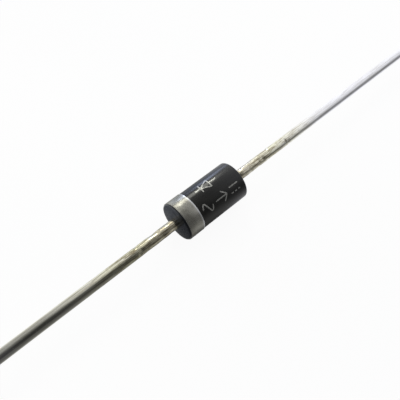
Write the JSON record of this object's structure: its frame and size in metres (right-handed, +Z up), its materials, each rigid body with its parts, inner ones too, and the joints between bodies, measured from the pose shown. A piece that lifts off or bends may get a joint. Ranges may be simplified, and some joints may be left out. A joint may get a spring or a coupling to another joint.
{
  "type": "axial rectifier diode",
  "caption": "Small rectifier diode: black moulded cylindrical case with a printed silver cathode ring and a straight tinned wire lead out of each end.",
  "frame": {"origin": "centre of the moulded case, on the axis of the leads, which is also the middle of the chip", "axes": "+X along the leads from the cathode end (printed ring, at -X) to the anode end; +Z up, +Y completes the right hand; round about X apart from the square chip inside"},
  "size_m": [0.06, 0.0028, 0.0028],
  "materials": {
    "case_epoxy": "black moulded epoxy, satin to glossy",
    "ring_ink": "silver-grey printed ink, softly glossy",
    "tinned_copper": "tinned copper wire, bright with fine drawing and grip marks",
    "silicon": "nickel-faced silicon, bright grey",
    "solder": "dull lead-rich solder",
    "silicone": "milky white silicone, satin"
  },
  "bodies": {
    "root": {"epoxy_case": "case_epoxy", "cathode_ring": "ring_ink", "cathode_lead": "tinned_copper", "anode_lead": "tinned_copper", "silicon_chip": "silicon", "cathode_solder": "solder", "anode_solder": "solder", "junction_coating": "silicone"}
  },
  "joints": []
}
